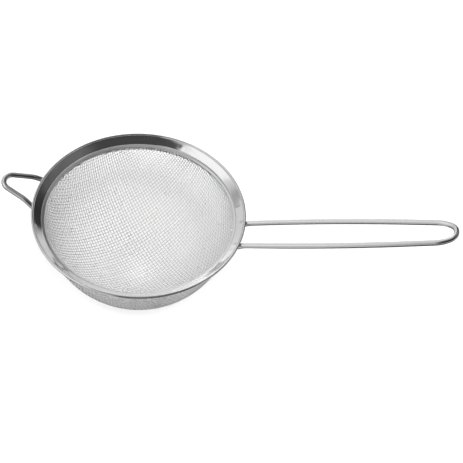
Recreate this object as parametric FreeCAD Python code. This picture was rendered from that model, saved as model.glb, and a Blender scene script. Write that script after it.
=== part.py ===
"""Tea strainer: a woven wire bowl clamped in a sheet metal rim, with a wire handle and a wire rest loop.

Frame: millimetres. The origin is the centre of the rim's top plane, on the bowl's axis.
+Z is up, out of the bowl's mouth. +X points along the handle, so the rest loop is on the -X side.
"""
import FreeCAD, Part
import math
import os
from FreeCAD import Vector

# Rim: one sheet metal band with a beaded outer edge, a sloping face, then a short steep step and a
# narrow ledge that covers the edge of the cloth
RIM_RADIUS = 40.0            # outside of the beaded edge
BEAD_RADIUS = 0.42           # half the thickness of the beaded edge
SHEET = 0.4                  # thickness of the band and of the clamp ring
BAND_INNER = (36.55, -2.47)  # radius and height where the sloping face turns into the step
STEP_FOOT = (36.38, -3.05)   # where the step turns into the ledge
LEDGE_END = (35.60, -3.35)   # inner edge of the ledge
CREASE_RADIUS = 0.25
FOOT_RADIUS = 0.25

# Clamp ring: a strip under the ledge, round the outside of the cloth's edge
CLAMP_TOP = (36.32, -3.68)
CLAMP_KNEE = (36.32, -4.50)
CLAMP_END = (36.20, -5.10)
CLAMP_KNEE_RADIUS = 1.5

# Bowl: a shell as thick as one wire of the cloth, down the middle of the weave
BOWL_RADIUS = 36.0           # middle of the cloth
BOWL_CENTRE_Z = -1.3
BOWL_EDGE_Z = -3.55          # top edge of the cloth, under the ledge and inside the clamp ring
CLOTH_WIRE = 0.3

# Both loops: round wire whose ends run under the band, side by side with its slope
WIRE_RADIUS = 1.0
WELD_GAP = 0.03              # between the wire and the bead it runs under
ROOT_RADIUS = 37.75          # distance of the wire's cut ends from the bowl's axis

# Handle loop. Stations are (distance along the loop's plane from its knee, half width)
HANDLE_HALF_WIDTH = 5.46
HANDLE_KNEE_RADIUS = 41.2    # distance from the bowl's axis where the ends turn into the loop's plane
HANDLE_TIP = (114.2, 23.4)   # x and z of the wire's centre at the tip
HANDLE_STATIONS = [(33.5, 6.38), (72.8, 4.60)]
HANDLE_NOSE_HALF = 2.3
HANDLE_BENDS = [12.0, 850.0, 12.0, 3.55]  # knee, mid-length bow, shoulder, nose

# Rest loop: a short V with a rounded nose, opposite the handle
REST_ROOT_HALF_WIDTH = 7.7
REST_KNEE_HALF_WIDTH = 5.71
REST_KNEE_RADIUS = 43.1
REST_TIP = (52.1, 2.19)
REST_NOSE_HALF = 2.66
REST_BENDS = [8.7, 3.45]     # knee, nose

# Spot welds between the wires' ends and the band
WELD_RADIUS = 0.75
WELD_AT_RADIUS = 38.55

BEAD_CENTRE = (RIM_RADIUS - BEAD_RADIUS, -BEAD_RADIUS)


def band_slope():
    """Angle of the sloping face, in radians."""
    return math.atan2(BEAD_CENTRE[1] - BAND_INNER[1], BEAD_CENTRE[0] - BAND_INNER[0])


def wire_height(radius):
    """Height of a wire's centre where it runs under the band, just clear of the bead."""
    offset = (BEAD_RADIUS + WIRE_RADIUS + WELD_GAP) / math.cos(band_slope())
    return BEAD_CENTRE[1] + (radius - BEAD_CENTRE[0]) * math.tan(band_slope()) - offset


def rounded_path(corners, radii):
    """A wire of straight runs joined by tangent arcs; radii belong to the inner corners."""
    edges = []
    start = corners[0]
    for before, corner, after, radius in zip(corners, corners[1:], corners[2:], radii):
        inward = (before - corner).normalize()
        outward = (after - corner).normalize()
        half_turn = (math.pi - inward.getAngle(outward)) / 2
        setback = radius * math.tan(half_turn)
        arc_start = corner + inward * setback
        arc_end = corner + outward * setback
        middle_line = (inward + outward).normalize()
        arc_middle = corner + middle_line * (radius / math.cos(half_turn) - radius)
        edges.append(Part.LineSegment(start, arc_start).toShape())
        edges.append(Part.Arc(arc_start, arc_middle, arc_end).toShape())
        start = arc_end
    edges.append(Part.LineSegment(start, corners[-1]).toShape())
    return Part.Wire(edges)


def spun_sheet(profile, radii):
    """Revolve a sheet strip, given by (radius, height) corners of its middle line, round the Z axis."""
    path = rounded_path([Vector(r, 0, z) for r, z in profile], radii)
    outline = path.makeOffset2D(SHEET / 2, 0, False, False)
    return Part.Face(outline).revolve(Vector(0, 0, 0), Vector(0, 0, 1), 360)


def make_rim_band():
    band = spun_sheet([BEAD_CENTRE, BAND_INNER, STEP_FOOT, LEDGE_END], [CREASE_RADIUS, FOOT_RADIUS])
    bead = Part.makeTorus(BEAD_CENTRE[0], BEAD_RADIUS, Vector(0, 0, BEAD_CENTRE[1]))
    return band.fuse(bead).removeSplitter()


def make_clamp_ring():
    return spun_sheet([CLAMP_TOP, CLAMP_KNEE, CLAMP_END], [CLAMP_KNEE_RADIUS])


def make_mesh_bowl():
    """Spherical shell, open at the top, with a flat top edge."""
    centre = Vector(0, 0, BOWL_CENTRE_Z)
    outer = Part.makeSphere(BOWL_RADIUS + CLOTH_WIRE / 2, centre)
    inner = Part.makeSphere(BOWL_RADIUS - CLOTH_WIRE / 2, centre)
    above = Part.makeCylinder(2 * BOWL_RADIUS, 2 * BOWL_RADIUS, Vector(0, 0, BOWL_EDGE_Z))
    return outer.cut(inner).cut(above)


def loop_corners(side, root_half, knee_half, knee_radius, tip, stations, nose_half):
    """Corners of a closed-end loop from one cut end, round the nose, to the other.

    side is +1 for a loop on the +X side and -1 for one on the -X side.
    """
    root = Vector(math.sqrt(ROOT_RADIUS**2 - root_half**2), root_half, wire_height(ROOT_RADIUS))
    knee = Vector(math.sqrt(knee_radius**2 - knee_half**2), knee_half, wire_height(knee_radius))
    along = Vector(tip[0] - knee.x, 0, tip[1] - knee.z)
    length = along.Length
    along.normalize()
    half = [root, knee]
    for distance, half_width in stations + [(length, nose_half)]:
        point = Vector(knee.x, 0, knee.z) + along * distance
        half.append(Vector(point.x, half_width, point.z))
    other_half = [Vector(p.x, -p.y, p.z) for p in reversed(half)]
    return [Vector(side * p.x, p.y, p.z) for p in half + other_half]


def handle_corners():
    return loop_corners(1, HANDLE_HALF_WIDTH, HANDLE_HALF_WIDTH, HANDLE_KNEE_RADIUS, HANDLE_TIP,
                        HANDLE_STATIONS, HANDLE_NOSE_HALF)


def rest_corners():
    return loop_corners(-1, REST_ROOT_HALF_WIDTH, REST_KNEE_HALF_WIDTH, REST_KNEE_RADIUS, REST_TIP,
                        [], REST_NOSE_HALF)


def make_loop(corners, bends):
    """Sweep the round wire along the loop."""
    path = rounded_path(corners, bends + bends[::-1])
    section = Part.Wire(Part.makeCircle(WIRE_RADIUS, corners[0], corners[1] - corners[0]))
    return path.makePipeShell([section], True, False)


def make_welds(corners, loop, rim_band):
    """One spot weld over each end of a loop, filling the gap between the wire and the band."""
    slope = band_slope()
    nuggets = []
    for root, knee in ((corners[0], corners[1]), (corners[-1], corners[-2])):
        run = (WELD_AT_RADIUS - ROOT_RADIUS) / math.cos(slope)
        base = root + (knee - root).normalize() * run
        outward = Vector(base.x, base.y, 0).normalize()
        normal = Vector(0, 0, math.cos(slope)) - outward * math.sin(slope)
        column = Part.makeCylinder(WELD_RADIUS, WIRE_RADIUS + BEAD_RADIUS, base, normal)
        nuggets.append(column.cut(loop).cut(rim_band).Solids[0])
    return Part.makeCompound(nuggets)


def build():
    rim_band = make_rim_band()
    handle_loop = make_loop(handle_corners(), HANDLE_BENDS)
    rest_loop = make_loop(rest_corners(), REST_BENDS)
    return {
        "rim_band": rim_band,
        "clamp_ring": make_clamp_ring(),
        "mesh_bowl": make_mesh_bowl(),
        "handle_loop": handle_loop,
        "handle_welds": make_welds(handle_corners(), handle_loop, rim_band),
        "rest_loop": rest_loop,
        "rest_loop_welds": make_welds(rest_corners(), rest_loop, rim_band),
    }


os.makedirs("parts", exist_ok=True)
for node, shape in build().items():
    shape.exportStep(f"parts/{node}.step")
    box = shape.BoundBox
    print(f"{node}: {len(shape.Solids)} solids, valid {shape.isValid()}, {shape.Volume:.1f} mm3, "
          f"x {box.XMin:.1f} to {box.XMax:.1f}, y {box.YMin:.1f} to {box.YMax:.1f}, "
          f"z {box.ZMin:.1f} to {box.ZMax:.1f}")
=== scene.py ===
"""Looks for the tea strainer: woven steel cloth bowl, sheet steel rim, wire handle and rest loop.

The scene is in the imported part's frame: the origin is the centre of the rim's top plane, +Z is up out of
the bowl's mouth and +X points along the handle. The strainer's own sizes are in millimetres, and
new_object turns them into metres. The camera, lamps, floor and backdrop are in metres.
"""

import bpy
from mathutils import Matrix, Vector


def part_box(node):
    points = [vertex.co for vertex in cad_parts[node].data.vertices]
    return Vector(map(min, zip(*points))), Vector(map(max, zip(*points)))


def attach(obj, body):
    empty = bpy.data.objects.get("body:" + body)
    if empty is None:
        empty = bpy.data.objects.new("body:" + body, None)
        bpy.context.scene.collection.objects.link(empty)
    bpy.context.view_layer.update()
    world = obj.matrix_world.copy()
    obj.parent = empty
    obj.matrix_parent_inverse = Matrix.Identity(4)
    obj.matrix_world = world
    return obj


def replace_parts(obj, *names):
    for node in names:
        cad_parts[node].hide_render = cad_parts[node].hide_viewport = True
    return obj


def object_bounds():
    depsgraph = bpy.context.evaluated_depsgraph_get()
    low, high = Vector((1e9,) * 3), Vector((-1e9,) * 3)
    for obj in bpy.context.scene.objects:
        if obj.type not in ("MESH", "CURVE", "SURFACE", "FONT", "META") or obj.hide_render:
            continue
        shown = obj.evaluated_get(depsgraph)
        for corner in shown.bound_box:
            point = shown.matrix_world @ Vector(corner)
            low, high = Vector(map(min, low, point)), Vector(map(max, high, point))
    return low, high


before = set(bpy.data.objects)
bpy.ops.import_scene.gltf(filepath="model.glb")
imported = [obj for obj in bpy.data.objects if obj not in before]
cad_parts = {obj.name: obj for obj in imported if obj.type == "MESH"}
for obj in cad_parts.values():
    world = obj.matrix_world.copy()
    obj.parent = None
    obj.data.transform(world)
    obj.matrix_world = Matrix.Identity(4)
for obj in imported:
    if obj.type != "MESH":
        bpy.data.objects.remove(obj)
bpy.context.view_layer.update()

import math

import bpy
import numpy as np
from mathutils import Quaternion, Vector

MM = 0.001

# Rim and clamp ring sections: (radius, height) corners of the sheet's middle line, in millimetres
RIM_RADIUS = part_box("rim_band")[1].x / MM
BEAD_RADIUS = 0.42
SHEET = 0.4
BEAD_CENTRE = (RIM_RADIUS - BEAD_RADIUS, -BEAD_RADIUS)
BAND_INNER = (36.55, -2.47)
STEP_FOOT = (36.38, -3.05)
LEDGE_END = (35.60, -3.35)
CREASE_RADIUS = 0.25
FOOT_RADIUS = 0.25
CLAMP_TOP = (36.32, -3.68)
CLAMP_KNEE = (36.32, -4.50)
CLAMP_END = (36.20, -5.10)
CLAMP_KNEE_RADIUS = 1.5
TURNS = 720                  # faces round the rim
BEAD_POINTS = 26             # on the bead's section

# Cloth: plain weave on a sphere
BOWL_RADIUS = 36.0
BOWL_CENTRE_Z = -1.3
BOWL_EDGE_Z = -3.55
CLOTH_WIRE_RADIUS = 0.155
CLOTH_PITCH = 1.22           # between neighbouring wires at the bowl's bottom
CLOTH_TURN = math.radians(45)   # the cloth's threads lie diagonally to the handle
CLOTH_DRAW = 0.37            # how the pressed cloth spreads towards the edge; 0 keeps its radial length
CLOTH_STEPS = 4              # points per pitch along a wire
CLOTH_SIDES = 6
CLOTH_MARGIN = 0.3           # wires that would lie nearer to the edge than this are left out
CLOTH_WANDER = 0.045         # how far a wire's longer waves move it sideways
CLOTH_TUCK = 0.12            # how far the cloth's edge is pressed inwards by the clamp ring
CLOTH_FLATTENING = 0.5       # share of the crimp that is pressed out of the wires at the edge

# Loops: round wire whose ends run under the band
WIRE_RADIUS = 1.0
WIRE_SIDES = 28
ROOT_RADIUS = 37.75          # distance of the wire's cut ends from the bowl's axis
WELD_GAP = 0.03              # between the wire and the bead it runs under

# Handle loop. Stations are (distance along the loop's plane from its knee, half width)
HANDLE_HALF_WIDTH = 5.46
HANDLE_KNEE_RADIUS = 41.2    # distance from the bowl's axis where the ends turn into the loop's plane
HANDLE_TIP = (114.2, 23.4)   # x and z of the wire's centre at the tip
HANDLE_STATIONS = [(33.5, 6.38), (72.8, 4.60)]
HANDLE_NOSE_HALF = 2.3
HANDLE_BENDS = [12.0, 850.0, 12.0, 3.55]  # knee, mid-length bow, shoulder, nose

# Rest loop: a short V with a rounded nose, opposite the handle
REST_ROOT_HALF_WIDTH = 7.7
REST_KNEE_HALF_WIDTH = 5.71
REST_KNEE_RADIUS = 43.1
REST_TIP = (52.1, 2.19)
REST_NOSE_HALF = 2.66
REST_BENDS = [8.7, 3.45]     # knee, nose

# Weld nuggets
WELD_RUN = 0.9               # from the wire's cut end to the nugget's middle
WELD_SINK = 0.08             # from the top of the wire to the nugget's middle
WELD_HALF_SIZES = (1.15, 0.95, 0.22)
LUMP_UNEVENNESS = 0.12       # share of a nugget's size
# Spots over the handle's welds are darker, partly from heat tint and partly from painted shade
TINT_AND_PAINTED_SHADE_AT = (38.2, -1.4)       # x and height of the darker spots on the band, over the handle's welds
TINT_AND_PAINTED_SHADE_RADIUS = 1.3
TINT_AND_PAINTED_SHADE_CORE = 0.35             # share of that radius with the full darkness
TINT_AND_PAINTED_SHADE_FACTOR = 0.80            # of the sheet's own colour
TINT_AND_PAINTED_SHADE_WOBBLE = 1.2            # how uneven the spots' outlines are

# Marks on the spun sheet
MARKS_ACROSS = 9000.0        # per metre
MARKS_ROUND = 5.0            # per radian round the axis
PRESS_FADE = 0.15            # the pressed ledge's roughness fades out over this distance from its foot


# ---------------------------------------------------------------- geometry helpers

def new_object(name, vertices, faces, material):
    """A smooth mesh object in metres from points in millimetres."""
    mesh = bpy.data.meshes.new(name)
    mesh.from_pydata([tuple(v) for v in np.asarray(vertices) * MM], [], [tuple(f) for f in faces])
    mesh.polygons.foreach_set("use_smooth", [True] * len(mesh.polygons))
    mesh.materials.append(material)
    mesh.update()
    obj = bpy.data.objects.new(name, mesh)
    bpy.context.scene.collection.objects.link(obj)
    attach(obj, "root")
    return obj


def rounded(corners, radii, step=0.06):
    """Points along straight runs joined by tangent arcs, at about the given spacing on the arcs.

    radii belong to the inner corners.
    """
    corners = [np.asarray(c, float) for c in corners]
    points = [corners[0]]
    for before, corner, after, radius in zip(corners, corners[1:], corners[2:], radii):
        inward = (before - corner) / np.linalg.norm(before - corner)
        outward = (after - corner) / np.linalg.norm(after - corner)
        half_turn = (math.pi - math.acos(np.clip(inward @ outward, -1, 1))) / 2
        middle = (inward + outward) / np.linalg.norm(inward + outward)
        centre = corner + middle * radius / math.cos(half_turn)
        first = corner + inward * radius * math.tan(half_turn) - centre
        last = corner + outward * radius * math.tan(half_turn) - centre
        count = max(4, int(2 * half_turn * radius / step))
        for k in range(count + 1):
            share = k / count
            a = math.sin((1 - share) * 2 * half_turn) / math.sin(2 * half_turn)
            b = math.sin(share * 2 * half_turn) / math.sin(2 * half_turn)
            points.append(centre + a * first + b * last)
    points.append(corners[-1])
    return np.array(points)


def resampled(points, spacing):
    """Points along the same line, with no gap longer than spacing."""
    out = [points[0]]
    for a, b in zip(points, points[1:]):
        count = max(1, math.ceil(np.linalg.norm(b - a) / spacing))
        out += [a + (b - a) * k / count for k in range(1, count + 1)]
    return np.array(out)


def strip_outline(middle, thickness, round_end=8):
    """Closed outline of a strip of sheet along a middle line, with rounded edges."""
    along = np.gradient(middle, axis=0)
    along /= np.linalg.norm(along, axis=1)[:, None]
    normal = np.stack([-along[:, 1], along[:, 0]], 1)
    half = thickness / 2
    left = middle + normal * half
    right = middle - normal * half
    caps = []
    for centre, side, forward in ((middle[-1], normal[-1], along[-1]), (middle[0], -normal[0], -along[0])):
        angles = np.linspace(0, math.pi, round_end + 2)[1:-1]
        caps.append([centre + half * (math.cos(a) * side + math.sin(a) * forward) for a in angles])
    return np.concatenate([left, caps[0], right[::-1], caps[1]])


def spun(name, outline, material, unevenness=None):
    """Revolve a closed (radius, height) outline round the Z axis.

    unevenness gives how far each point moves up, from its turn round the axis and its radius.
    """
    angles = np.linspace(0, 2 * math.pi, TURNS, endpoint=False)
    rings = []
    for a in angles:
        height = outline[:, 1] + (unevenness(a, outline[:, 0]) if unevenness else 0)
        rings.append(np.stack([outline[:, 0] * math.cos(a), outline[:, 0] * math.sin(a), height], 1))
    count = len(outline)
    faces = []
    for t in range(TURNS):
        this, following = t * count, (t + 1) % TURNS * count
        for k in range(count):
            after = (k + 1) % count
            faces.append((this + k, this + after, following + after, following + k))
    return new_object(name, np.concatenate(rings), faces, material)


def tube(points, radius, sides):
    """Vertices and faces of a round wire with closed ends along a line of points."""
    points = np.asarray(points, float)
    along = np.gradient(points, axis=0)
    along /= np.linalg.norm(along, axis=1)[:, None]
    normal = np.cross(along[0], [0.0, 0.0, 1.0])
    if np.linalg.norm(normal) < 0.1:
        normal = np.cross(along[0], [0.0, 1.0, 0.0])
    normals = []
    for direction in along:
        normal = normal - direction * (normal @ direction)
        normal = normal / np.linalg.norm(normal)
        normals.append(normal)
    normals = np.array(normals)
    binormals = np.cross(along, normals)
    angles = np.linspace(0, 2 * math.pi, sides, endpoint=False)
    cosines, sines = np.cos(angles)[None, :, None], np.sin(angles)[None, :, None]
    circle = normals[:, None] * cosines + binormals[:, None] * sines
    vertices = (points[:, None] + radius * circle).reshape(-1, 3)
    faces = []
    for start in range(0, (len(points) - 1) * sides, sides):
        for k in range(sides):
            after = (k + 1) % sides
            faces.append((start + k, start + after, start + sides + after, start + sides + k))
    faces.append(tuple(range(sides))[::-1])
    faces.append(tuple((len(points) - 1) * sides + k for k in range(sides)))
    return vertices, faces


def joined(tubes):
    """One vertex list and face list from several."""
    vertices, faces, start = [], [], 0
    for tube_vertices, tube_faces in tubes:
        vertices.append(tube_vertices)
        faces += [tuple(start + i for i in face) for face in tube_faces]
        start += len(tube_vertices)
    return np.concatenate(vertices), faces


# ---------------------------------------------------------------- materials

class Nodes:
    """A short way to build the node tree of a material or a world."""

    def __init__(self, owner):
        owner.use_nodes = True
        self.tree = owner.node_tree
        self.tree.nodes.clear()

    def add(self, kind, inputs=None, **settings):
        node = self.tree.nodes.new(kind)
        for key, value in settings.items():
            setattr(node, key, value)
        for key, value in (inputs or {}).items():
            self.set(node.inputs[key], value)
        return node

    def set(self, socket, value):
        if isinstance(value, bpy.types.NodeSocket):
            self.tree.links.new(value, socket)
        else:
            socket.default_value = value

    def math(self, operation, *values):
        return self.add("ShaderNodeMath", dict(enumerate(values)), operation=operation).outputs[0]

    def range(self, value, low, high, out_low, out_high, smooth=False):
        limits = {"Value": value, "From Min": low, "From Max": high, "To Min": out_low, "To Max": out_high}
        kind = "SMOOTHSTEP" if smooth else "LINEAR"
        return self.add("ShaderNodeMapRange", limits, interpolation_type=kind).outputs["Result"]

    def noise(self, vector, scale, detail, roughness=0.5):
        settings = {"Vector": vector, "Scale": scale, "Detail": detail, "Roughness": roughness}
        return self.add("ShaderNodeTexNoise", settings).outputs["Fac"]


def metal_surface(n, marks, colour, bump, rough, shade):
    """A metal shader: marks dent it by up to bump millimetres, and shade multiplies its colour."""
    normal = n.add("ShaderNodeBump", {"Strength": 1.0, "Distance": bump * MM, "Height": marks})
    grey = n.add("ShaderNodeCombineColor", {"Red": shade, "Green": shade, "Blue": shade})
    base = n.add("ShaderNodeMix", {"Factor": 1.0, "A": (*colour, 1.0), "B": grey.outputs[0]},
                 data_type="RGBA", blend_type="MULTIPLY")
    shader = n.add("ShaderNodeBsdfPrincipled", {"Metallic": 1.0, "Base Color": base.outputs["Result"],
                                                "Roughness": rough, "Normal": normal.outputs[0]})
    n.add("ShaderNodeOutputMaterial", {"Surface": shader.outputs[0]})


def steel(name, colour, roughness, grain, bump):
    """Bright steel with fine marks; grain stretches them along x, y and z."""
    material = bpy.data.materials.new(name)
    n = Nodes(material)
    place = n.add("ShaderNodeTexCoord").outputs["Object"]
    stretched = n.add("ShaderNodeMapping", {"Vector": place, "Scale": grain}).outputs[0]
    marks = n.noise(stretched, 1.0, 4.0, 0.6)
    blotches = n.noise(place, 220.0, 3.0)
    rough = n.range(blotches, 0.3, 0.7, roughness * 0.8, roughness * 1.25)
    shade = n.range(marks, 0.25, 0.75, 0.92, 1.03)
    metal_surface(n, marks, colour, bump, rough, shade)
    return material


def spun_steel(name, colour, roughness, bump, ledge_roughness=0.0, tint_and_painted_shade_spots=()):
    """Steel sheet with fine marks running round the Z axis.

    ledge_roughness is added where the ledge was pressed. Spots over welds are darker: heat tint and painted
    shade.
    """
    material = bpy.data.materials.new(name)
    n = Nodes(material)
    place = n.add("ShaderNodeTexCoord").outputs["Object"]
    x, y, z = n.add("ShaderNodeSeparateXYZ", {"Vector": place}).outputs
    radius = n.math("SQRT", n.math("ADD", n.math("MULTIPLY", x, x), n.math("MULTIPLY", y, y)))
    turn = n.math("ARCTAN2", y, x)
    polar = n.add("ShaderNodeCombineXYZ", {"X": n.math("MULTIPLY", radius, MARKS_ACROSS),
                                           "Y": n.math("MULTIPLY", turn, MARKS_ROUND),
                                           "Z": n.math("MULTIPLY", z, MARKS_ACROSS)})
    marks = n.noise(polar.outputs[0], 1.0, 4.0, 0.65)
    blotches = n.noise(place, 260.0, 3.0)
    pressed = n.range(radius, (STEP_FOOT[0] - PRESS_FADE) * MM, STEP_FOOT[0] * MM, ledge_roughness, 0.0)
    rough = n.math("ADD", n.range(blotches, 0.3, 0.7, roughness * 0.8, roughness * 1.3), pressed)
    shade = n.range(marks, 0.25, 0.75, 0.93, 1.03)
    wobble = n.math("MULTIPLY", n.math("SUBTRACT", blotches, 0.5), TINT_AND_PAINTED_SHADE_WOBBLE * MM)
    # Painted shade, together with heat tint, darkens the sheet round each spot over a weld
    for spot in tint_and_painted_shade_spots:
        centre = tuple(c * MM for c in spot)
        away = n.add("ShaderNodeVectorMath", {0: place, 1: centre}, operation="DISTANCE").outputs["Value"]
        reach = n.math("ADD", away, wobble)
        core = TINT_AND_PAINTED_SHADE_RADIUS * TINT_AND_PAINTED_SHADE_CORE * MM
        darker = n.range(reach, core, TINT_AND_PAINTED_SHADE_RADIUS * MM, TINT_AND_PAINTED_SHADE_FACTOR, 1.0, smooth=True)
        shade = n.math("MULTIPLY", shade, darker)
    metal_surface(n, marks, colour, bump, rough, shade)
    return material


def rim_steel():
    """Polished sheet, rougher on the pressed ledge, darker over the handle's welds from heat tint and
    painted shade.
    """
    tint_and_painted_shade_spots = [(TINT_AND_PAINTED_SHADE_AT[0], side * HANDLE_HALF_WIDTH, TINT_AND_PAINTED_SHADE_AT[1]) for side in (1, -1)]
    return spun_steel("rim_steel_polished", (0.66, 0.66, 0.66), roughness=0.11, bump=0.0012,
                      ledge_roughness=0.22, tint_and_painted_shade_spots=tint_and_painted_shade_spots)


def clamp_steel():
    """Satin sheet."""
    return spun_steel("clamp_steel_satin", (0.60, 0.60, 0.60), roughness=0.28, bump=0.004)


def wire_steel():
    """Drawn wire, with marks that are longest along the handle."""
    return steel("loop_wire_steel", (0.60, 0.60, 0.60), roughness=0.16, grain=(150.0, 9000.0, 9000.0),
                 bump=0.002)


def cloth_steel():
    """Fine bright wire."""
    return steel("cloth_wire_steel", (0.86, 0.86, 0.86), roughness=0.32, grain=(2500.0, 2500.0, 2500.0),
                 bump=0.001)


def weld_steel():
    """Dull steel, darkened by the weld's heat."""
    return steel("weld_steel_tinted", (0.30, 0.28, 0.26), roughness=0.42, grain=(4000.0, 4000.0, 4000.0),
                 bump=0.03)


# ---------------------------------------------------------------- pieces

# Low and high places of the pressed band: (waves round the rim, waves per millimetre across it, height in
# millimetres, phase)
BAND_WAVES = [(5, 0.0, 0.050, 0.4), (11, 0.10, 0.022, 2.1), (17, -0.13, 0.014, 5.0), (29, 0.16, 0.007, 1.3),
              (41, -0.22, 0.004, 3.6)]
# Dents: (degrees round the rim, then in millimetres radius, depth, length round the rim, length across it)
BAND_DENTS = [(8.2, 37.9, 0.050, 1.1, 0.9), (-8.2, 37.9, 0.060, 1.1, 0.9), (-13.5, 38.2, 0.035, 0.8, 1.2),
              (19.5, 37.4, 0.050, 0.45, 1.0), (78, 37.6, 0.035, 0.9, 0.8), (72, 38.8, 0.030, 0.8, 0.6),
              (168, 37.9, 0.045, 1.0, 0.9), (191, 37.9, 0.045, 1.0, 0.9), (203, 38.3, 0.040, 1.2, 0.9),
              (236, 38.0, 0.050, 2.2, 0.7)]
BAND_FADE = 1.2              # the unevenness fades out over this distance from the bead


def band_unevenness(turn, radius):
    """Height of the band above its true cone, in millimetres."""
    height = sum(size * np.sin(waves * turn + across * 2 * math.pi * (radius - BAND_INNER[0]) + phase)
                 for waves, across, size, phase in BAND_WAVES)
    for side, at_radius, depth, length, width in BAND_DENTS:
        off = (turn - math.radians(side) + math.pi) % (2 * math.pi) - math.pi
        height = height - depth * np.exp(-(off * at_radius / length)**2 - ((radius - at_radius) / width)**2)
    return height * np.clip((BEAD_CENTRE[0] - radius) / BAND_FADE, 0, 1)


def band_slope():
    """Angle of the band's sloping face, in radians."""
    return math.atan2(BEAD_CENTRE[1] - BAND_INNER[1], BEAD_CENTRE[0] - BAND_INNER[0])


def make_rim_band(material):
    """The sheet strip, with the round bead in place of its outer edge."""
    line = rounded([BEAD_CENTRE, BAND_INNER, STEP_FOOT, LEDGE_END], [CREASE_RADIUS, FOOT_RADIUS], step=0.04)
    strip = strip_outline(resampled(line, spacing=0.3), SHEET)
    outside = [math.dist(point, BEAD_CENTRE) > BEAD_RADIUS for point in strip]
    first = next(k for k in range(len(strip)) if outside[k] and not outside[k - 1])
    run = [strip[(first + k) % len(strip)] for k in range(sum(outside))]
    inward = band_slope() + math.pi
    meet = math.asin(SHEET / 2 / BEAD_RADIUS)
    arc = [np.array([BEAD_CENTRE[0] + BEAD_RADIUS * math.cos(a), BEAD_CENTRE[1] + BEAD_RADIUS * math.sin(a)])
           for a in np.linspace(inward + meet, inward - meet + 2 * math.pi, BEAD_POINTS)]
    # The run goes from one side of the bead to the other, and the arc closes it
    if math.dist(run[-1], arc[0]) > math.dist(run[-1], arc[-1]):
        arc = arc[::-1]
    band = spun("rim_band_sheet", np.array(run + arc), material, band_unevenness)
    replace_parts(band, "rim_band")


def make_clamp_ring(material):
    """The plain strip, bent a little inwards at its lower edge."""
    line = resampled(rounded([CLAMP_TOP, CLAMP_KNEE, CLAMP_END], [CLAMP_KNEE_RADIUS]), spacing=0.4)
    ring = spun("clamp_ring_strip", strip_outline(line, SHEET), material)
    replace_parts(ring, "clamp_ring")


def on_bowl(u, v, lift):
    """Where a point of the flat cloth lands on the bowl; lift is outward from the bowl's middle surface."""
    reach = np.hypot(u, v)
    polar = np.arcsin(np.clip(CLOTH_DRAW * reach / BOWL_RADIUS, -1, 1)) / CLOTH_DRAW
    turn = np.arctan2(v, u) + CLOTH_TURN
    outward = np.stack([np.sin(polar) * np.cos(turn), np.sin(polar) * np.sin(turn), -np.cos(polar)], 1)
    return outward * (BOWL_RADIUS + lift)[:, None] + np.array([0, 0, BOWL_CENTRE_Z])


def cloth_wires(weft):
    """Every wire of one direction, as (distance from the middle wire, tube from edge to edge)."""
    edge_polar = math.acos((BOWL_CENTRE_Z - BOWL_EDGE_Z) / BOWL_RADIUS)
    edge_reach = BOWL_RADIUS * math.sin(CLOTH_DRAW * edge_polar) / CLOTH_DRAW
    last = int(edge_reach / CLOTH_PITCH)
    step = CLOTH_PITCH / CLOTH_STEPS
    kind_phase = 1.3 if weft else 0.0
    wires = []
    for number in range(-last, last + 1):
        across = (number + 0.5) * CLOTH_PITCH
        if abs(across) >= edge_reach - CLOTH_MARGIN:
            continue
        half = math.sqrt(edge_reach**2 - across**2)
        count = max(3, int(2 * half / step))
        along = np.linspace(-half, half, count)
        phase = math.pi * (along / CLOTH_PITCH - 0.5 + number + (1 if weft else 0))
        pinch = np.clip(1 - (edge_reach - np.hypot(along, across)) / CLOTH_PITCH, 0, 1)
        lift = CLOTH_WIRE_RADIUS * np.cos(phase) * (1 - CLOTH_FLATTENING * pinch) - CLOTH_TUCK * pinch
        # Each wire strays in two waves, out of step with those of its neighbours
        long_wave = np.sin(along / 9.0 + 2.4 * number)
        short_wave = 0.7 * np.sin(along / 4.1 + 1.7 * number * number + kind_phase)
        side = across + CLOTH_WANDER * (long_wave + short_wave)
        u, v = (along, side) if weft else (side, along)
        wires.append((across, tube(on_bowl(u, v, lift), CLOTH_WIRE_RADIUS, CLOTH_SIDES)))
    return wires


CLOTH = bpy.data.collections.new("cloth")    # lit by lamps of its own


def make_cloth(material):
    """The warp and the weft, each in two pieces, one on each side of the bowl's middle."""
    for weft, kind in ((False, "warp"), (True, "weft")):
        wires = cloth_wires(weft)
        for side, keep in (("left", lambda c: c < 0), ("right", lambda c: c >= 0)):
            vertices, faces = joined([wire for across, wire in wires if keep(across)])
            piece = new_object(f"mesh_bowl_{kind}_{side}", vertices, faces, material)
            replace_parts(piece, "mesh_bowl")
            CLOTH.objects.link(piece)


def wire_height(radius):
    """Height of a loop's wire where it runs under the band, just clear of the bead."""
    slope = band_slope()
    offset = (BEAD_RADIUS + WIRE_RADIUS + WELD_GAP) / math.cos(slope)
    return BEAD_CENTRE[1] + (radius - BEAD_CENTRE[0]) * math.tan(slope) - offset


def loop_corners(side, root_half, knee_half, knee_radius, tip, stations, nose_half):
    """Corners of a loop's middle line from one cut end, round the nose, to the other.

    stations are (distance along the loop's plane from its knee, half width).
    """
    root = np.array([math.sqrt(ROOT_RADIUS**2 - root_half**2), root_half, wire_height(ROOT_RADIUS)])
    knee = np.array([math.sqrt(knee_radius**2 - knee_half**2), knee_half, wire_height(knee_radius)])
    along = np.array([tip[0] - knee[0], 0, tip[1] - knee[2]])
    length = np.linalg.norm(along)
    along = along / length
    half = [root, knee]
    for distance, half_width in stations + [(length, nose_half)]:
        point = knee * [1, 0, 1] + along * distance
        half.append(np.array([point[0], half_width, point[2]]))
    corners = half + [p * [1, -1, 1] for p in half[::-1]]
    return [p * [side, 1, 1] for p in corners]


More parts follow.
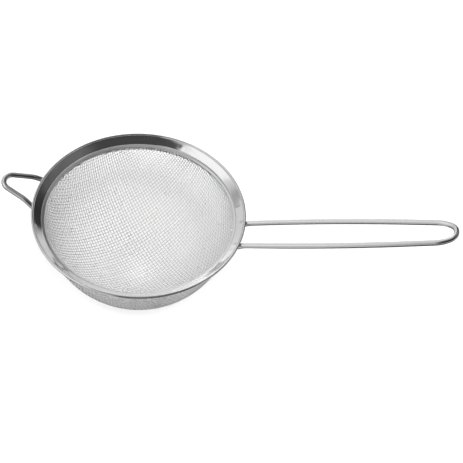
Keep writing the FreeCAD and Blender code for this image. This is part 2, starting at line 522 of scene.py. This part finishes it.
def make_loop(name, node, corners, bends, material):
    """One bent wire; bends are the radii from a cut end to the nose."""
    line = resampled(rounded(corners, bends + bends[::-1], step=0.35), spacing=1.2)
    vertices, faces = tube(line, WIRE_RADIUS, WIRE_SIDES)
    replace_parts(new_object(name, vertices, faces, material), node)


def soft_lump(centre, half_sizes, axes, seed):
    """Vertices and faces of a small uneven lump with the given half sizes along three axes."""
    rings, sides = 9, 14
    random = np.random.default_rng(seed)
    turns = [2 * math.pi * k / sides for k in range(sides)]
    vertices = [(0, 0, 1)]
    for i in range(1, rings):
        polar = math.pi * i / rings
        around, height = math.sin(polar), math.cos(polar)
        vertices += [(around * math.cos(a), around * math.sin(a), height) for a in turns]
    vertices.append((0, 0, -1))
    vertices = np.array(vertices, float)
    waves = random.normal(size=(5, 3)) * 1.6
    bumps = sum(np.sin(vertices @ wave + k) for k, wave in enumerate(waves)) / len(waves)
    vertices = vertices * (1 + LUMP_UNEVENNESS * bumps)[:, None] * np.array(half_sizes)
    vertices = vertices @ np.array(axes) + np.array(centre)
    faces = [(0, 1 + k, 1 + (k + 1) % sides) for k in range(sides)]
    for start in range(1, 1 + (rings - 2) * sides, sides):
        for k in range(sides):
            a, b = start + k, start + (k + 1) % sides
            faces.append((a, a + sides, b + sides, b))
    last = len(vertices) - 1
    base = last - sides
    faces += [(last, base + (k + 1) % sides, base + k) for k in range(sides)]
    return vertices, faces


HANDLE = loop_corners(1, HANDLE_HALF_WIDTH, HANDLE_HALF_WIDTH, HANDLE_KNEE_RADIUS, HANDLE_TIP,
                      HANDLE_STATIONS, HANDLE_NOSE_HALF)
REST = loop_corners(-1, REST_ROOT_HALF_WIDTH, REST_KNEE_HALF_WIDTH, REST_KNEE_RADIUS, REST_TIP,
                    [], REST_NOSE_HALF)


def make_welds(name, node, corners, material):
    """A flattened nugget between each end of a loop and the band."""
    slope = band_slope()
    lumps = []
    for seed, (root, knee) in enumerate(((corners[0], corners[1]), (corners[-1], corners[-2]))):
        run = (knee - root) / np.linalg.norm(knee - root)
        spot = root + run * WELD_RUN
        outward = np.array([spot[0], spot[1], 0]) / math.hypot(spot[0], spot[1])
        up_slope = outward * math.cos(slope) + np.array([0, 0, math.sin(slope)])
        sideways = np.cross([0, 0, 1.0], outward)
        normal = np.cross(up_slope, sideways)
        centre = spot + normal * (WIRE_RADIUS + WELD_SINK)
        lumps.append(soft_lump(centre, WELD_HALF_SIZES, (up_slope, sideways, normal), seed + 3))
    vertices, faces = joined(lumps)
    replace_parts(new_object(name, vertices, faces, material), node)


# ---------------------------------------------------------------- room, light and camera

CAMERA_AT = (0.06493, -0.26497, 0.32680)
CAMERA_FORWARD = (-0.07015, 0.62690, -0.77594)
CAMERA_ROLL = 6.60           # degrees
CAMERA_LENS = 88.32
CAMERA_SIDE = -76.2          # azimuth of the camera, in degrees

# What the steel mirrors, as soft boxes of light in a dark room: (azimuth from the camera's, elevation,
# half width, half height and edge softness in degrees, strength)
ROOM_GLOW = 0.04             # everywhere; the boxes add to it
SOFT_BOXES = [
    (-113, 30, 61, 40, 10, 0.88),    # bright wall on the left
    (-113, -30, 61, 40, 10, 0.14),   # and what is under it
    (-38, -12, 16, 58, 10, 0.75),    # its near end, lower
    (-83, 46, 24, 14, 8, 0.45),      # key lamp in front of it
    (-121, 29, 5, 8, 5, -0.40),      # narrow dark stand beside the key
    (172, -5, 30, 17, 6, 0.85),      # pale wall behind
    (-174, -5, 20, 17, 12, 0.45),    # and its brighter part
    (172, -43, 30, 21, 6, 0.34),     # and the floor in front of it
    (180, 34, 22, 20, 10, 0.45),     # and its dimmer top
    (97, -30, 42, 38, 20, 0.60),     # dim wall on the right
    (95, 45, 30, 15, 20, 0.12),      # and its top
    (130, 60, 22, 14, 8, 0.42),      # and its far top
    (20, -13, 48, 14, 10, 0.55),     # far end of the table in front
    (0, -82, 180, 16, 10, 0.22),     # pale table right under the object
    (0, 70, 180, 25, 10, 0.04),      # dark ceiling
    (0, 90, 180, 15, 6, 0.50),       # and its lit patch straight above
]

FLOOR_HALF = 3.0
DOME_RADIUS = 2.9
DOME_WALL = 2.5              # height of the dome's upright part
DOME_TOP = 3.0
DOME_SIDES = 48
FLOOR_GLOW = 0.50
DOME_GLOW = 0.95


def make_camera():
    """A camera at CAMERA_AT, rolled about its line of sight."""
    data = bpy.data.cameras.new("camera")
    data.sensor_width = 36.0
    data.lens = CAMERA_LENS
    data.clip_start, data.clip_end = 0.01, 50.0
    camera = bpy.data.objects.new("camera", data)
    bpy.context.scene.collection.objects.link(camera)
    camera.location = CAMERA_AT
    forward = Vector(CAMERA_FORWARD).normalized()
    camera.rotation_mode = "QUATERNION"
    level = forward.to_track_quat("-Z", "Y")
    camera.rotation_quaternion = Quaternion(forward, -math.radians(CAMERA_ROLL)) @ level
    bpy.context.scene.camera = camera


def make_world():
    """A dark room with the soft boxes round it."""
    world = bpy.data.worlds.new("studio")
    bpy.context.scene.world = world
    n = Nodes(world)
    direction = n.add("ShaderNodeTexCoord").outputs["Generated"]
    x, y, z = n.add("ShaderNodeSeparateXYZ", {"Vector": direction}).outputs
    azimuth = n.math("MULTIPLY", n.math("ARCTAN2", y, x), 180 / math.pi)
    elevation = n.math("MULTIPLY", n.math("ARCSINE", z), 180 / math.pi)
    total = ROOM_GLOW
    for side, height, half_width, half_height, soft, strength in SOFT_BOXES:
        off = n.math("SUBTRACT", azimuth, (side + CAMERA_SIDE + 180) % 360 - 180)
        wrapped = n.math("ABSOLUTE", n.math("WRAP", off, 180.0, -180.0))
        rise = n.math("ABSOLUTE", n.math("SUBTRACT", elevation, float(height)))
        across = n.range(wrapped, half_width - soft / 2, half_width + soft / 2, 1.0, 0.0, smooth=True)
        upward = n.range(rise, half_height - soft / 2, half_height + soft / 2, 1.0, 0.0, smooth=True)
        total = n.math("ADD", n.math("MULTIPLY", n.math("MULTIPLY", across, upward), strength), total)
    back = n.add("ShaderNodeBackground", {"Color": (1, 1, 1, 1), "Strength": total})
    n.add("ShaderNodeOutputWorld", {"Surface": back.outputs[0]})


def stage_piece(name, vertices, faces, material):
    """A piece of the room that the camera sees and the steel doesn't mirror."""
    mesh = bpy.data.meshes.new(name)
    mesh.from_pydata(vertices, [], faces)
    mesh.materials.append(material)
    piece = bpy.data.objects.new(name, mesh)
    bpy.context.scene.collection.objects.link(piece)
    piece.visible_glossy = False
    return piece


def make_floor(floor_z):
    """A pale, partly self-lit floor."""
    pale = bpy.data.materials.new("pale_floor")
    n = Nodes(pale)
    shader = n.add("ShaderNodeBsdfPrincipled", {"Base Color": (0.5, 0.5, 0.5, 1), "Roughness": 0.9,
                                                "Specular IOR Level": 0.0,
                                                "Emission Color": (1, 1, 1, 1),
                                                "Emission Strength": FLOOR_GLOW})
    n.add("ShaderNodeOutputMaterial", {"Surface": shader.outputs[0]})
    corners = [(-1, -1), (1, -1), (1, 1), (-1, 1)]
    vertices = [(FLOOR_HALF * x, FLOOR_HALF * y, floor_z) for x, y in corners]
    stage_piece("floor", vertices, [(0, 1, 2, 3)], pale)


def make_backdrop(floor_z):
    """A pale dome that only the camera sees."""
    glow = bpy.data.materials.new("pale_backdrop")
    n = Nodes(glow)
    light = n.add("ShaderNodeEmission", {"Color": (1, 1, 1, 1), "Strength": DOME_GLOW})
    n.add("ShaderNodeOutputMaterial", {"Surface": light.outputs[0]})
    turns = [2 * math.pi * k / DOME_SIDES for k in range(DOME_SIDES)]
    ring = [(DOME_RADIUS * math.cos(a), DOME_RADIUS * math.sin(a)) for a in turns]
    vertices = [(x, y, z) for z in (floor_z, DOME_WALL) for x, y in ring] + [(0, 0, DOME_TOP)]
    faces = []
    for k in range(DOME_SIDES):
        after = (k + 1) % DOME_SIDES
        faces.append((k, after, DOME_SIDES + after, DOME_SIDES + k))
        faces.append((DOME_SIDES + k, DOME_SIDES + after, 2 * DOME_SIDES))
    backdrop = stage_piece("backdrop", vertices, faces, glow)
    backdrop.visible_diffuse = False
    backdrop.visible_shadow = False
    backdrop.visible_transmission = False


def make_lamp(name, side, height, half_angle, radiance, distance=1.2, receivers=None):
    """A round lamp that faces the bowl from side degrees off the camera's azimuth and a height in degrees.

    It fills half_angle degrees round that direction. With receivers, it lights only those pieces.
    """
    data = bpy.data.lights.new(name, "AREA")
    data.shape = "DISK"
    data.size = 2 * distance * math.tan(math.radians(half_angle))
    data.energy = radiance * math.pi * math.pi * (data.size / 2)**2
    lamp = bpy.data.objects.new(name, data)
    turn, rise = math.radians(side + CAMERA_SIDE), math.radians(height)
    away = Vector((math.cos(rise) * math.cos(turn), math.cos(rise) * math.sin(turn), math.sin(rise)))
    lamp.location = away * distance
    lamp.rotation_mode = "QUATERNION"
    lamp.rotation_quaternion = away.to_track_quat("Z", "Y")
    bpy.context.scene.collection.objects.link(lamp)
    if receivers:
        lamp.light_linking.receiver_collection = receivers
    return lamp


def make_lights():
    """A soft lamp above and behind the camera, which the steel doesn't mirror, and fills for the cloth."""
    floor_lamp = make_lamp("floor_lamp", 10, 62, 14, 21.5, distance=2.4)
    floor_lamp.visible_glossy = False
    make_lamp("cloth_fill_right", 90, 48, 24, 0.6, receivers=CLOTH)
    make_lamp("cloth_fill_top", 170, 66, 30, 0.9, receivers=CLOTH)
    make_lamp("cloth_fill_front", -20, 2, 20, 5.0, receivers=CLOTH)


def main():
    make_rim_band(rim_steel())
    make_clamp_ring(clamp_steel())
    make_cloth(cloth_steel())
    wire = wire_steel()
    make_loop("handle_loop_wire", "handle_loop", HANDLE, HANDLE_BENDS, wire)
    make_loop("rest_loop_wire", "rest_loop", REST, REST_BENDS, wire)
    weld = weld_steel()
    make_welds("handle_weld_nuggets", "handle_welds", HANDLE, weld)
    make_welds("rest_loop_weld_nuggets", "rest_loop_welds", REST, weld)
    floor_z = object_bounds()[0].z
    make_floor(floor_z)
    make_backdrop(floor_z)
    make_world()
    make_lights()
    make_camera()
    bpy.context.scene.view_settings.view_transform = "Standard"


main()
